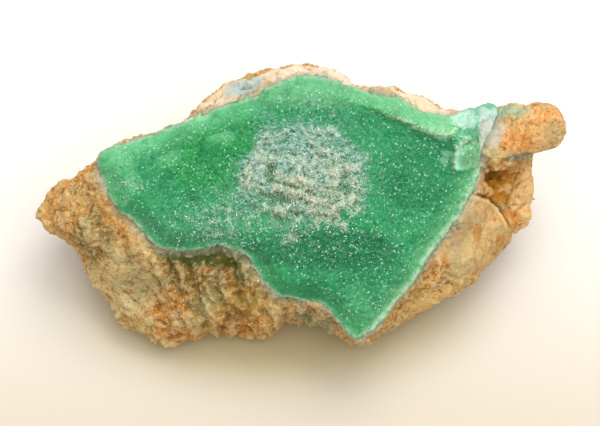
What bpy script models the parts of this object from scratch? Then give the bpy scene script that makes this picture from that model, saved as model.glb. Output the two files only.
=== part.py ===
"""A hand specimen of variscite: a green crust on a chip of iron-stained chert breccia, 20 mm long.

The stone is laid out in plan, looking square at the green crust: x to the right, y up the crust and z out
of it, in millimetres, with z = 0 on the seam between crust and rock. It is then leaned back by LEAN, stood
with the middle of its box over the origin, and cut flat where it rests. The scene is in metres, with +Z up.
"""

import math

import bmesh
import bpy
import numpy as np
from mathutils import Matrix, Vector
from mathutils.geometry import intersect_point_line

MM = 0.001

# How the stone stands
LEAN = math.radians(20)
SEAM_HEIGHT = 5.2
SEAM_GAP = 0.1
BOX_CENTRE = (0.013, 0.788)

# The loft of the rock, in plan
LOFT_CENTRE = Vector((0.5, -0.2, 0.0))
LOFT_STEPS = 150
SEAT_HEIGHT = 0.3
SHOULDER_OUT = 0.5
SHOULDER_DOWN = 0.28
GIRDLE_BAND = 0.6
BELLY_IN = 0.2
BELLY_DOWN = 0.5
HEEL_RISE = 0.6
FOOT_SHRINK = 0.87
FOOT_BITE = 0.5

# The rock's widest line, which is its outline in plan: x, y and the height below the seam
GIRDLE = [
    (-10.15, -0.5, -1.9), (-9.65, 0.3, -1.7), (-9.2, 0.8, -1.6), (-8.65, 1.1, -1.3), (-7.85, 1.65, -0.9),
    (-7.35, 1.95, -0.7), (-6.1, 2.25, -0.8), (-4.6, 2.95, -1.0), (-3.8, 3.7, -1.1), (-2.85, 4.25, -1.0),
    (-2.3, 4.85, -0.9), (-1.5, 5.1, -1.1), (0.0, 5.1, -1.2), (1.2, 5.05, -1.2), (1.9, 4.45, -1.1),
    (3.4, 4.3, -1.1), (4.5, 3.85, -1.1), (5.2, 3.6, -1.0), (5.95, 3.4, -0.9), (7.1, 3.0, -1.5),
    (7.9, 2.3, -2.3), (8.6, 1.5, -2.5), (8.8, 0.9, -2.6), (8.75, 0.2, -2.7), (8.45, -0.5, -2.8),
    (7.85, -1.1, -3.0), (7.5, -1.9, -3.2), (6.95, -2.6, -3.2), (6.35, -3.4, -3.2), (5.5, -3.7, -3.1),
    (4.6, -3.85, -3.0), (3.4, -4.65, -2.7), (2.25, -5.45, -2.2), (1.5, -5.0, -2.4), (0.4, -4.5, -2.8),
    (-0.5, -4.4, -2.9), (-1.6, -5.15, -3.0), (-2.2, -5.2, -3.0), (-3.2, -4.85, -3.0), (-4.4, -5.3, -3.0),
    (-5.6, -5.45, -3.0), (-6.2, -5.05, -2.9), (-6.75, -4.35, -2.9), (-7.6, -3.5, -2.8), (-8.3, -2.6, -2.6),
    (-8.7, -1.75, -2.4), (-9.1, -1.25, -2.2),
]

# The heel of the rock in plan, from where it turns in under itself to the face that it rests on
FOOT = [
    (-5.8, -0.6), (-5.6, 1.0), (-4.0, 2.5), (-2.0, 3.7), (0.5, 4.4), (3.0, 3.8), (5.2, 2.5), (6.3, 0.6),
    (5.9, -1.2), (4.6, -3.0), (2.3, -4.7), (0.2, -4.3), (-2.0, -4.7), (-4.4, -4.9), (-5.9, -3.6),
]

# The crust's outline in plan
CRUST = [
    (-7.6, 1.95), (-7.0, 2.25), (-6.1, 2.5), (-5.3, 2.8), (-4.55, 3.1), (-3.8, 3.4), (-2.95, 3.75),
    (-2.3, 3.95), (-1.6, 4.1), (-1.2, 4.45), (-0.55, 4.75), (0.0, 4.9), (0.7, 4.95), (1.15, 4.8),
    (1.7, 4.6), (2.0, 4.45), (2.85, 4.25), (3.8, 4.0), (4.55, 3.6), (5.3, 3.4), (5.9, 3.35), (6.5, 3.65),
    (7.2, 3.85), (7.6, 3.7), (7.4, 3.2), (7.1, 2.5), (6.85, 1.8), (6.8, 1.15), (6.5, 0.4), (5.9, -0.65),
    (5.3, -1.35), (4.75, -2.2), (4.4, -2.8), (3.8, -3.55), (3.25, -4.2), (2.75, -4.75), (2.15, -5.15),
    (1.8, -4.75), (1.3, -4.1), (0.85, -3.7), (0.0, -3.6), (-0.75, -3.45), (-1.2, -3.1), (-1.65, -2.5),
    (-1.9, -2.0), (-2.3, -1.7), (-2.95, -1.5), (-3.8, -1.65), (-4.75, -1.7), (-5.3, -1.65), (-5.65, -1.35),
    (-6.0, -0.95), (-6.35, -0.55), (-6.8, -0.25), (-7.15, 0.2), (-7.45, 0.75), (-7.6, 1.35),
]

# Lumps that stand out of the rock: middle, half sizes and turn in plan
LUMPS = {
    "knob": ((8.65, 3.0, -0.3), (1.45, 0.92, 0.95), 4),
    "knob_root": ((7.8, 2.6, -0.65), (1.25, 1.1, 1.2), 18),
    "knob_underside": ((8.1, 1.8, -1.8), (0.8, 0.9, 1.2), 10),
    "pebble": ((6.3, -1.1, -1.9), (1.45, 2.1, 1.5), -38),
    "outer_ledge": ((8.45, 0.9, -2.2), (0.5, 0.85, 0.9), 5),
    "outer_corner": ((8.25, -0.25, -2.5), (0.55, 0.55, 0.8), 20),
    "prow": ((-9.0, -0.35, -1.9), (1.15, 0.7, 0.85), 0),
    "back_rim": ((0.3, 4.6, -1.0), (1.7, 0.5, 0.7), 0),
    "back_rim_right": ((3.9, 3.85, -1.1), (1.3, 0.4, 0.7), -18),
    "back_rim_left": ((-2.0, 4.35, -0.9), (1.1, 0.55, 0.6), 25),
    "corner_stone": ((-5.6, -4.0, -2.9), (1.6, 1.1, 1.2), -15),
}
LUMP_SQUARENESS = 0.75

# The shaded hollow between the knob and the pebble: middle, half sizes and turn
HOLLOW = ((7.45, 1.05, -0.4), (0.65, 0.5, 0.55), 10)

# The rock's broken surface: the size of its faces and lumps, and how far they stand in and out
FACE_SIZE = 2.2
FACE_DEPTH = 0.5
LUMP_SIZE = 0.9
LUMP_DEPTH = 0.35

# The crust's section: how thick it is at its edge, and what it gains over the width of the bevel
CRUST_EDGE = 0.45
CRUST_RISE = 0.55
BEVEL_WIDTH = 0.8

# The crust's relief: the mound under the pale patch, the lip along the upper right edge and the chips by
# the knob. Mound and shard have a middle, half sizes and a height, the lip two ends, a width and a height.
MOUND = ((0.1, 1.0), (2.6, 2.0), 0.3)
LIP = ((2.2, 4.3), (5.6, 2.75), 0.55, 0.3)
SHARD = ((6.6, 2.0), (0.85, 0.65), 0.4)

# Cutters
BED_TOP = 4.0
GROUND_SIZE = 30.0

# Fineness of the meshes: the voxels and the share of triangles kept
ROCK_VOXEL = 0.22
CRUST_VOXEL = 0.2
ROCK_KEEP = 0.29
CRUST_KEEP = 0.2


def plan_loop(points, height=None, shrink=1.0):
    """A closed outline read off at even angles round the loft's centre, as (x, y, z) vectors."""
    offsets = [Vector((p[0], p[1])) - LOFT_CENTRE.xy for p in points]
    angles = [math.atan2(o.y, o.x) for o in offsets]
    lengths = [o.length for o in offsets]
    heights = [p[2] if height is None else height for p in points]
    steps = np.linspace(-math.pi, math.pi, LOFT_STEPS, endpoint=False)
    radii = np.interp(steps, angles, lengths, period=2 * math.pi)
    rises = np.interp(steps, angles, heights, period=2 * math.pi)
    return [
        Vector((LOFT_CENTRE.x + shrink * r * math.cos(a), LOFT_CENTRE.y + shrink * r * math.sin(a), h))
        for a, r, h in zip(steps, radii, rises)
    ]


def between(lower, upper, out, down):
    """A loop between two others: out is the share of the way in plan, down the share of the way in height."""
    return [
        Vector((*a.xy.lerp(b.xy, out), a.z + (b.z - a.z) * down))
        for a, b in zip(lower, upper)
    ]


def ground_level(point):
    """How high the ground lies in the plan's own z, under a point in plan."""
    return -(SEAM_HEIGHT + point.y * math.sin(LEAN)) / math.cos(LEAN)


def new_object(name, mesh_data, parent):
    """Writes a bmesh, built in millimetres, to an object in metres."""
    bmesh.ops.scale(mesh_data, vec=(MM, MM, MM), verts=mesh_data.verts)
    bmesh.ops.recalc_face_normals(mesh_data, faces=mesh_data.faces)
    mesh = bpy.data.meshes.new(name)
    mesh_data.to_mesh(mesh)
    mesh_data.free()
    made = bpy.data.objects.new(name, mesh)
    bpy.context.collection.objects.link(made)
    made.parent = parent
    return made


def cutter(made):
    """Marks an object as a cutter, which is not part of the stone."""
    made.hide_render = True
    made.display_type = "WIRE"
    return made


def add_loft(mesh_data, loops):
    """Skins a stack of loops, with a fan of faces over each end."""
    rings = [[mesh_data.verts.new(p) for p in loop] for loop in loops]
    for low, high in zip(rings, rings[1:]):
        for i in range(len(low)):
            j = (i + 1) % len(low)
            mesh_data.faces.new((low[i], low[j], high[j], high[i]))
    for ring in (rings[0], rings[-1]):
        middle = mesh_data.verts.new(sum((v.co for v in ring), Vector()) / len(ring))
        for i in range(len(ring)):
            mesh_data.faces.new((middle, ring[i], ring[(i + 1) % len(ring)]))


def add_lump(mesh_data, middle, half_size, turn, squareness=LUMP_SQUARENESS):
    """Adds a rounded block: a ball whose sides are flattened towards a box."""
    made = bmesh.ops.create_icosphere(mesh_data, subdivisions=4, radius=1.0)
    for vert in made["verts"]:
        vert.co = Vector([math.copysign(abs(c) ** squareness * s, c) for c, s in zip(vert.co, half_size)])
    bmesh.ops.rotate(mesh_data, matrix=Matrix.Rotation(math.radians(turn), 3, "Z"), verts=made["verts"])
    bmesh.ops.translate(mesh_data, vec=middle, verts=made["verts"])


def add_prism(mesh_data, outline, low, high):
    """Adds a straight-sided slab with the given outline."""
    floor = mesh_data.faces.new([mesh_data.verts.new((x, y, low)) for x, y in outline])
    side = bmesh.ops.extrude_face_region(mesh_data, geom=[floor])
    top = [v for v in side["geom"] if isinstance(v, bmesh.types.BMVert)]
    bmesh.ops.translate(mesh_data, vec=(0, 0, high - low), verts=top)


def outline_distance(point, outline):
    """How far a point in plan lies from an outline."""
    nearest = 1e9
    for a, b in zip(outline, outline[1:] + outline[:1]):
        a, b = Vector(a), Vector(b)
        share = min(1.0, max(0.0, intersect_point_line(point, a, b)[1]))
        nearest = min(nearest, (point - a.lerp(b, share)).length)
    return nearest


def smooth(value):
    """Eases a share from 0 to 1, and holds it there outside that range."""
    value = min(1.0, max(0.0, value))
    return value * value * (3 - 2 * value)


def dome(point, middle, half_size):
    """1 at the middle of an oval, falling to 0 at its rim."""
    away = Vector(((point.x - middle[0]) / half_size[0], (point.y - middle[1]) / half_size[1]))
    return smooth(1 - away.length)


def noisy(made, name, kind, size, strength):
    """Displaces an object's surface by one of Blender's own textures."""
    texture = bpy.data.textures.new(name, kind)
    texture.noise_scale = size * MM
    displace = made.modifiers.new(name, "DISPLACE")
    displace.texture = texture
    displace.texture_coords = "LOCAL"
    displace.strength = strength * MM
    displace.mid_level = 0.5


def remesh(made, voxel):
    """Fuses overlapping shapes into one even skin."""
    fuse = made.modifiers.new("fuse", "REMESH")
    fuse.mode = "VOXEL"
    fuse.voxel_size = voxel * MM
    fuse.use_smooth_shade = True


def decimate(made, keep):
    """Thins an even skin where it is flat."""
    thin = made.modifiers.new("thin", "DECIMATE")
    thin.ratio = keep
    thin.use_collapse_triangulate = True


def cut(made, tool, name, solver="EXACT"):
    """Cuts one object from another."""
    boolean = made.modifiers.new(name, "BOOLEAN")
    boolean.operation = "DIFFERENCE"
    boolean.solver = solver
    boolean.object = tool


def material(name, colour, roughness):
    """A plain matt or waxy material."""
    made = bpy.data.materials.new(name)
    made.use_nodes = True
    shader = made.node_tree.nodes["Principled BSDF"]
    shader.inputs["Base Color"].default_value = (*colour, 1.0)
    shader.inputs["Roughness"].default_value = roughness
    shader.inputs["Metallic"].default_value = 0.0
    return made


def frozen(made):
    """Applies an object's modifiers, so that its vertices can be shaped one by one."""
    graph = bpy.context.evaluated_depsgraph_get()
    mesh = bpy.data.meshes.new_from_object(made.evaluated_get(graph))
    made.modifiers.clear()
    made.data = mesh
    return mesh


def crust_top(point):
    """How high the crust stands over the seam at a point in plan."""
    edge = outline_distance(point, CRUST)
    height = CRUST_EDGE + CRUST_RISE * smooth(edge / BEVEL_WIDTH)
    middle, half_size, rise = MOUND
    height += rise * dome(point, middle, half_size)
    start, end, width, rise = LIP
    along = intersect_point_line(point, Vector(start), Vector(end))
    beside = (point - Vector(start).lerp(Vector(end), min(1.0, max(0.0, along[1])))).length
    height += rise * smooth(1 - beside / width)
    middle, half_size, rise = SHARD
    return height + rise * dome(point, middle, half_size)


def make_rock(parent):
    """The chert breccia: a lofted chip with lumps fused to it."""
    data = bmesh.new()
    seat = plan_loop(CRUST, height=SEAT_HEIGHT)
    girdle = plan_loop(GIRDLE)
    heel = plan_loop(FOOT, height=0)
    foot = plan_loop(FOOT, height=0, shrink=FOOT_SHRINK)
    for loop, above_ground in ((heel, HEEL_RISE), (foot, -FOOT_BITE)):
        for vert in loop:
            vert.z = ground_level(vert) + above_ground
    belly = between(girdle, heel, BELLY_IN, BELLY_DOWN)
    low_rim = [vert - Vector((0, 0, GIRDLE_BAND / 2)) for vert in girdle]
    high_rim = [vert + Vector((0, 0, GIRDLE_BAND / 2)) for vert in girdle]
    shoulder = between(seat, girdle, SHOULDER_OUT, SHOULDER_DOWN)
    add_loft(data, [foot, heel, belly, low_rim, high_rim, shoulder, seat])
    for middle, half_size, turn in LUMPS.values():
        add_lump(data, middle, half_size, turn)
    rock = new_object("matrix_rock", data, parent)
    remesh(rock, ROCK_VOXEL)
    noisy(rock, "broken_faces", "VORONOI", FACE_SIZE, FACE_DEPTH)
    noisy(rock, "lumps", "CLOUDS", LUMP_SIZE, LUMP_DEPTH)
    rock.data.materials.append(material("iron_stained_chert", (0.42, 0.27, 0.12), 0.9))
    return rock


def make_crust(parent):
    """The variscite: a slab of the crust's outline with a bevelled edge and a low mound."""
    data = bmesh.new()
    add_prism(data, CRUST, 0.0, CRUST_EDGE)
    crust = new_object("variscite_crust", data, parent)
    remesh(crust, CRUST_VOXEL)
    mesh = frozen(crust)
    for vert in mesh.vertices:
        if vert.co.z > 0.5 * CRUST_EDGE * MM:
            vert.co.z = crust_top(vert.co.xy / MM) * MM
    crust.data.materials.append(material("green_variscite", (0.06, 0.36, 0.16), 0.4))
    return crust


def make_bed(parent):
    """Cutter: the room that the crust takes up in the rock, and all above it."""
    data = bmesh.new()
    add_prism(data, CRUST, -SEAM_GAP, BED_TOP)
    return cutter(new_object("crust_bed", data, parent))


def make_hollow(parent):
    """Cutter: the shaded hollow under the knob."""
    data = bmesh.new()
    add_lump(data, *HOLLOW, squareness=1.0)
    return cutter(new_object("hollow", data, parent))


def make_ground():
    """Cutter: everything below the surface that the stone rests on."""
    data = bmesh.new()
    bmesh.ops.create_cube(data, size=GROUND_SIZE)
    bmesh.ops.translate(data, vec=(0, 0, -GROUND_SIZE / 2), verts=data.verts)
    return cutter(new_object("ground", data, None))


def clear_scene():
    for old in list(bpy.data.objects):
        bpy.data.objects.remove(old)


def main():
    clear_scene()
    stand = bpy.data.objects.new("specimen", None)
    bpy.context.collection.objects.link(stand)
    stand.location = (-BOX_CENTRE[0] * MM, -BOX_CENTRE[1] * MM, SEAM_HEIGHT * MM)
    stand.rotation_euler = (LEAN, 0, 0)
    rock = make_rock(stand)
    crust = make_crust(stand)
    cut(rock, make_hollow(stand), "hollow")
    decimate(rock, ROCK_KEEP)
    decimate(crust, CRUST_KEEP)
    # The exact solver loses the thinned skin of the rock here
    cut(rock, make_bed(stand), "bed", solver="MANIFOLD")
    cut(rock, make_ground(), "ground")


main()
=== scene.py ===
"""A hand specimen of variscite: a green crust with a pale druse on a chip of iron-stained chert breccia."""

import math

import bpy
import numpy as np
from mathutils import Matrix, Vector, noise
from mathutils.bvhtree import BVHTree


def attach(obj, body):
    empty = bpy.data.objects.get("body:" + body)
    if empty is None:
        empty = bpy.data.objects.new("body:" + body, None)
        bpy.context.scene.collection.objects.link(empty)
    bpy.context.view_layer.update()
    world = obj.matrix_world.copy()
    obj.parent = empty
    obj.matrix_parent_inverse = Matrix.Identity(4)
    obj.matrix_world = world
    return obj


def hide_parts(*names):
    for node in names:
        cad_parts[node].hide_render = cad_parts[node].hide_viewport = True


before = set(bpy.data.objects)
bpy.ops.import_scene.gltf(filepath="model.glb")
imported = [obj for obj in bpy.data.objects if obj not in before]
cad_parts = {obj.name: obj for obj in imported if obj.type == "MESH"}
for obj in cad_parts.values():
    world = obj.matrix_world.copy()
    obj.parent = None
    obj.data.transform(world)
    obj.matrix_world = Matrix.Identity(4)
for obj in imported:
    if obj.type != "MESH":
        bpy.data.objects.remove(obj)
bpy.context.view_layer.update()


# The view and the light. The camera looks square at the green face through a long lens. One lamp stands
# behind the stone, a wide soft one hangs over it, and the table is a plain card, cream in front and white behind.
# A warm dark oval of painted shadow lies on the card under the front of the stone.
MM = 0.001
LEAN = math.radians(20)
PLAN_ORIGIN = Vector((-0.013, -0.788, 5.2))
VIEW_WIDTH = 22.86
VIEW_MIDDLE = (0.0, -0.305, 0.5)
LENS = 250.0
SENSOR = 36.0
CARD_FRONT = (0.56, 0.49, 0.38, 1.0)
CARD_BACK = (0.77, 0.76, 0.74, 1.0)
CARD_PAINTED_SHADOW = (0.50, 0.42, 0.21, 1.0)
PAINTED_SHADOW_MIDDLE = (-0.001, -0.0030, 0.0)
PAINTED_SHADOW_HALF_SIZE = (0.0078, 0.0036, 1.0)


def from_plan(x, y, z):
    """A place given square on to the green face, in millimetres, as a place in the scene."""
    return (Matrix.Rotation(LEAN, 3, "X") @ Vector((x, y, z)) + PLAN_ORIGIN) * MM


def add_lamp(name, place, aim, size, power, colour):
    """Hangs a square soft lamp and turns it to the stone."""
    bpy.ops.object.light_add(type="AREA", location=place)
    lamp = bpy.context.active_object
    lamp.name = name
    lamp.data.size = size
    lamp.data.energy = power
    lamp.data.color = colour
    lamp.rotation_euler = (Vector(aim) - Vector(place)).to_track_quat("-Z", "Y").to_euler()


def add_node(tree, kind, inputs=None, **settings):
    """Adds a node; a socket among its inputs is linked, and any other value is set."""
    node = tree.nodes.new(kind)
    for name, value in settings.items():
        setattr(node, name, value)
    for name, value in (inputs or {}).items():
        if isinstance(value, bpy.types.NodeSocket):
            tree.links.new(value, node.inputs[name])
        else:
            node.inputs[name].default_value = value
    return node


def blended(tree, share, first, second, kind="MIX"):
    """Mixes two colours by a share."""
    mix = add_node(tree, "ShaderNodeMix", {"Factor": share}, data_type="RGBA", blend_type=kind)
    for socket, value in ((mix.inputs[6], first), (mix.inputs[7], second)):
        if isinstance(value, bpy.types.NodeSocket):
            tree.links.new(value, socket)
        else:
            socket.default_value = value
    return mix.outputs[2]


def stretched(tree, value, low, high, bottom=0.0, top=1.0):
    """Spreads a range of values over another one, and holds it at both ends."""
    spread = add_node(
        tree,
        "ShaderNodeMapRange",
        {"Value": value, "From Min": low, "From Max": high, "To Min": bottom, "To Max": top},
        interpolation_type="SMOOTHSTEP",
    )
    return spread.outputs["Result"]


aim = from_plan(*VIEW_MIDDLE)
outward = Matrix.Rotation(LEAN, 3, "X") @ Vector((0.0, 0.0, 1.0))
bpy.ops.object.camera_add(location=aim + outward * VIEW_WIDTH * MM * LENS / SENSOR, rotation=(LEAN, 0.0, 0.0))
camera = bpy.context.active_object
camera.data.lens = LENS
camera.data.sensor_width = SENSOR
camera.data.clip_start = 0.01
bpy.context.scene.camera = camera

add_lamp("lamp_behind", (0.04, 0.09, 0.19), aim, 0.12, 0.22, (1.0, 0.98, 0.95))
add_lamp("lamp_over", (0.03, -0.01, 0.17), aim, 0.14, 0.14, (1.0, 0.99, 0.97))

world = bpy.data.worlds.new("studio_air")
world.use_nodes = True
world.node_tree.nodes["Background"].inputs["Color"].default_value = (1.0, 0.98, 0.94, 1.0)
world.node_tree.nodes["Background"].inputs["Strength"].default_value = 0.82
bpy.context.scene.world = world
bpy.context.scene.view_settings.view_transform = "Standard"

bpy.ops.mesh.primitive_plane_add(size=1.2, location=(0.0, 0.0, 0.0))
card = bpy.context.active_object
card.name = "cream_card"
card_paint = bpy.data.materials.new("cream_card")
card_paint.use_nodes = True
tree = card_paint.node_tree
where = add_node(tree, "ShaderNodeTexCoord").outputs["Object"]
along = add_node(tree, "ShaderNodeSeparateXYZ", {0: where}).outputs["Y"]
card_colour = blended(tree, stretched(tree, along, -0.013, 0.006), CARD_FRONT, CARD_BACK)
# Painted shadow: a warm dark oval on the card under the front of the stone.
away = add_node(tree, "ShaderNodeVectorMath", {0: where, 1: PAINTED_SHADOW_MIDDLE}, operation="SUBTRACT")
shares = add_node(tree, "ShaderNodeVectorMath", {0: away.outputs[0], 1: PAINTED_SHADOW_HALF_SIZE}, operation="DIVIDE")
reach = add_node(tree, "ShaderNodeVectorMath", {0: shares.outputs[0]}, operation="LENGTH").outputs["Value"]
card_colour = blended(tree, stretched(tree, reach, 1.25, 0.5, 0.0, 0.85), card_colour, CARD_PAINTED_SHADOW)
tree.links.new(card_colour, tree.nodes["Principled BSDF"].inputs["Base Color"])
tree.nodes["Principled BSDF"].inputs["Roughness"].default_value = 0.9
card.data.materials.append(card_paint)


# The matrix: one chip of chert breccia, crumbly, streaked and stained orange to olive brown by iron. A smooth
# tan pebble sits in its right flank and a grey clast at its lower left. Its form is the imported solid's.
# Painted shade darkens its hollows, part of its left flank, the brown and olive under the crust's lower left edge
# and a line under the knob, and a painted highlight whitens its top rim.
ROCK_SKIN = 0.088 * MM
GRAIN_FOCUS = (0.0, -11.0)
GRAIN_STRETCH = 2.4
PEBBLE_MIDDLE = (6.53, -1.17)
PEBBLE_RADIUS = 1.5
CLAST = ((-6.5, -3.1), (1.15, 0.8), -35.0)
RIDGES = [
    ([(-7.3, 0.3), (-6.3, -1.0), (-5.6, -2.0), (-5.0, -3.4)], 0.55, 0.26),
    ([(-8.9, 0.6), (-8.5, -0.3), (-7.9, -1.3)], 0.4, 0.14),
    ([(-4.2, -1.9), (-3.6, -3.0), (-3.4, -4.4)], 0.45, 0.16),
    ([(-0.9, -3.6), (-1.1, -4.6)], 0.4, 0.14),
    ([(8.0, 1.6), (8.1, 0.6), (7.7, 0.1)], 0.4, 0.16),
]
KNOB_SHADOW_LINE = [(9.7, 2.25), (9.0, 2.0), (8.2, 1.85), (7.9, 1.85)]
KNOB_SEAM = [(7.9, 2.02), (7.4, 1.85), (6.95, 1.62)]


def taken_from(node, name, skin):
    """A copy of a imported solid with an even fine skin, ready to be worked."""
    piece = bpy.data.objects.new(name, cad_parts[node].data.copy())
    bpy.context.collection.objects.link(piece)
    bpy.ops.object.select_all(action="DESELECT")
    piece.select_set(True)
    bpy.context.view_layer.objects.active = piece
    bpy.ops.object.mode_set(mode="EDIT")
    bpy.ops.mesh.select_all(action="SELECT")
    bpy.ops.mesh.remove_doubles(threshold=1e-7)
    bpy.ops.object.mode_set(mode="OBJECT")
    remesh = piece.modifiers.new("skin", "REMESH")
    remesh.mode = "VOXEL"
    remesh.voxel_size = skin
    remesh.use_smooth_shade = True
    bpy.ops.object.modifier_apply(modifier="skin")
    soften = piece.modifiers.new("soften", "SMOOTH")
    soften.factor = 0.5
    soften.iterations = 3
    bpy.ops.object.modifier_apply(modifier="soften")
    return piece


def places_of(piece):
    """Every vertex's place in the scene, in metres."""
    places = np.empty(len(piece.data.vertices) * 3, np.float32)
    piece.data.vertices.foreach_get("co", places)
    return places.reshape(-1, 3).astype(float)


def normals_of(piece):
    """The way that the skin faces at every vertex."""
    normals = np.empty(len(piece.data.vertices) * 3, np.float32)
    piece.data.vertices.foreach_get("normal", normals)
    return normals.reshape(-1, 3).astype(float)


def in_plan(places):
    """Places in the scene, in metres, as places square on to the green face, in millimetres."""
    upright = np.array(Matrix.Rotation(LEAN, 3, "X"))
    return (places / MM - np.array(PLAN_ORIGIN)) @ upright


def eased(share):
    """Eases a share from 0 to 1, and holds it there outside that range."""
    share = np.clip(share, 0.0, 1.0)
    return share * share * (3.0 - 2.0 * share)


def oval(plan, middle, half_size, turn=0.0, soft=0.3):
    """1 inside an oval of the plan, 0 outside it, with a soft rim."""
    turn = math.radians(turn)
    x = plan[:, 0] - middle[0]
    y = plan[:, 1] - middle[1]
    across = (x * math.cos(turn) + y * math.sin(turn)) / half_size[0]
    along = (y * math.cos(turn) - x * math.sin(turn)) / half_size[1]
    return eased((1.0 + soft - np.hypot(across, along)) / (2.0 * soft))


def from_line(plan, points):
    """How far each place lies from a line of points, in plan."""
    nearest = np.full(len(plan), 1e9)
    for start, end in zip(points, points[1:]):
        start, way = np.array(start), np.array(end) - np.array(start)
        share = np.clip(((plan[:, :2] - start) @ way) / (way @ way), 0.0, 1.0)
        nearest = np.minimum(nearest, np.linalg.norm(plan[:, :2] - start - share[:, None] * way, axis=1))
    return nearest


def cloud_at(plan, size, shift=0.0, octaves=3):
    """A soft noise from about -1 to 1 over places in millimetres, with blobs of the given size."""
    return np.array([noise.fractal(Vector((p[0], p[1], p[2] + shift)) / size, 0.9, 2.0, octaves) for p in plan])


def blocks_at(plan, size, shift=0.0):
    """A random height from about -1 to 1 for each angular block of the given size, sunk along the joints."""
    heights = np.empty(len(plan))
    for number, p in enumerate(plan):
        distances, middles = noise.voronoi(Vector((p[0], p[1], p[2] + shift)) / size)
        joint = math.exp(-(((distances[1] - distances[0]) / 0.14) ** 2))
        heights[number] = 1.5 * noise.noise(middles[0] * 3.7) - 0.7 * joint
    return heights


def grain_of(plan):
    """Places along the streaks of the broken rock, which fan out from a point below it."""
    x = plan[:, 0] - GRAIN_FOCUS[0]
    y = plan[:, 1] - GRAIN_FOCUS[1]
    return np.column_stack((np.arctan2(x, y) * 10.0, np.hypot(x, y) / GRAIN_STRETCH, plan[:, 2] / 1.5))


def keep_values(piece, name, values):
    """Stores one number for each vertex, for a material or a modifier to read."""
    kept = piece.data.attributes.new(name, "FLOAT", "POINT")
    kept.data.foreach_set("value", values.astype(np.float32))


def pushed(piece, depth):
    """Moves the skin out by so many millimetres at each vertex."""
    moved = places_of(piece) + normals_of(piece) * (depth * MM)[:, None]
    piece.data.vertices.foreach_set("co", moved.astype(np.float32).ravel())
    piece.data.update()


def pits_of(piece, gain=12.0):
    """How far each vertex lies under its neighbours, from 0 on a crest to 1 in a pit."""
    places = places_of(piece)
    ends = np.empty(len(piece.data.edges) * 2, np.int32)
    piece.data.edges.foreach_get("vertices", ends)
    ends = ends.reshape(-1, 2)
    levelled = places.copy()
    count = np.bincount(ends.ravel(), minlength=len(places)).clip(1)
    for _ in range(6):
        total = np.zeros_like(levelled)
        np.add.at(total, ends[:, 0], levelled[ends[:, 1]])
        np.add.at(total, ends[:, 1], levelled[ends[:, 0]])
        levelled = total / count[:, None]
    depth = ((levelled - places) * normals_of(piece)).sum(axis=1) / MM
    return np.clip(0.5 + depth * gain, 0.0, 1.0)


rock = taken_from("matrix_rock", "chert_breccia", ROCK_SKIN)
crust_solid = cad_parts["variscite_crust"].data
crust_tree = BVHTree.FromPolygons(
    [v.co for v in crust_solid.vertices], [tuple(p.vertices) for p in crust_solid.polygons]
)
rock_places = places_of(rock)
plan = in_plan(rock_places)
grain = grain_of(plan)
to_crust = np.array([crust_tree.find_nearest(Vector(p))[3] for p in rock_places]) / MM
seen = eased((normals_of(rock) @ np.array(outward) + 0.1) / 0.35)
reach = np.hypot(plan[:, 0] - PEBBLE_MIDDLE[0], plan[:, 1] - PEBBLE_MIDDLE[1])
bearing = np.degrees(np.arctan2(plan[:, 1] - PEBBLE_MIDDLE[1], plan[:, 0] - PEBBLE_MIDDLE[0]))
on_arc = eased((bearing - 4.0) / 14.0) * eased((104.0 - bearing) / 14.0) * seen
pebble = eased((PEBBLE_RADIUS - reach) / 0.15 + 0.5) * seen
pebble_rim = np.exp(-(((reach - PEBBLE_RADIUS + 0.06) / 0.09) ** 2)) * on_arc
pebble_crack = np.exp(-(((reach - PEBBLE_RADIUS - 0.08) / 0.06) ** 2)) * on_arc
clast = oval(plan, *CLAST, soft=0.15) * seen
ledges = 1.0 - 2.2 * np.abs(cloud_at(grain, 1.6, 5.0))
lumps = cloud_at(grain, 0.8, 11.0, 3)
bent = plan + 0.08 * cloud_at(plan, 0.3, 13.0, 2)[:, None]
crumbs = blocks_at(bent, 0.34, 17.0)
grit_noise = cloud_at(plan, 0.17, 19.0, 2)
knob = oval(plan, (9.0, 3.0), (1.9, 1.4), soft=0.4)
smooth_stone = 1.0 - 0.6 * np.maximum(np.maximum(pebble, 0.5 * clast), 0.7 * knob)
relief = 0.17 * ledges + 0.11 * lumps + 0.07 * blocks_at(grain + bent - plan, 0.75, 15.0) + 0.055 * crumbs
relief = (relief + 0.045 * grit_noise) * smooth_stone + 0.06 * pebble_rim - 0.09 * pebble_crack + 0.12 * clast
relief += 0.15 * oval(plan, (7.5, 1.2), (1.2, 0.9), soft=0.5) * seen * cloud_at(plan, 0.45, 21.0)
relief += 0.16 * oval(plan, (7.85, 3.7), (0.5, 0.35), soft=0.5)
for points, width, height in RIDGES:
    relief += height * np.clip(1.0 - from_line(plan, points) / width, 0.0, 1.0) * seen
free = eased((rock_places[:, 2] / MM - 0.1) / 0.5)
near_crust = eased((0.5 - to_crust) / 0.4)
relief = relief * (1.0 - 0.6 * near_crust) + near_crust * np.clip(0.2 * grit_noise + 0.12 * lumps, -0.02, 0.12)
pushed(rock, relief * free)
keep_values(rock, "pebble", pebble)
keep_values(rock, "seen", seen)
keep_values(rock, "pebble_edge", np.clip(0.5 + 0.5 * pebble_rim - 0.5 * pebble_crack, 0.0, 1.0))
keep_values(rock, "to_crust", to_crust)
# Painted shadow: a dark line along the knob's lower edge.
keep_values(rock, "knob_painted_shadow", eased((0.12 - from_line(plan, KNOB_SHADOW_LINE)) / 0.08) * seen)
keep_values(rock, "knob_seam", eased((0.1 - from_line(bent, KNOB_SEAM)) / 0.07) * seen)
# How deep each vertex lies in a hollow, for painted shade.
keep_values(rock, "pit_shade", pits_of(rock, 9.0))
kept_grain = rock.data.attributes.new("grain", "FLOAT_VECTOR", "POINT")
kept_grain.data.foreach_set("vector", grain.astype(np.float32).ravel())


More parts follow.
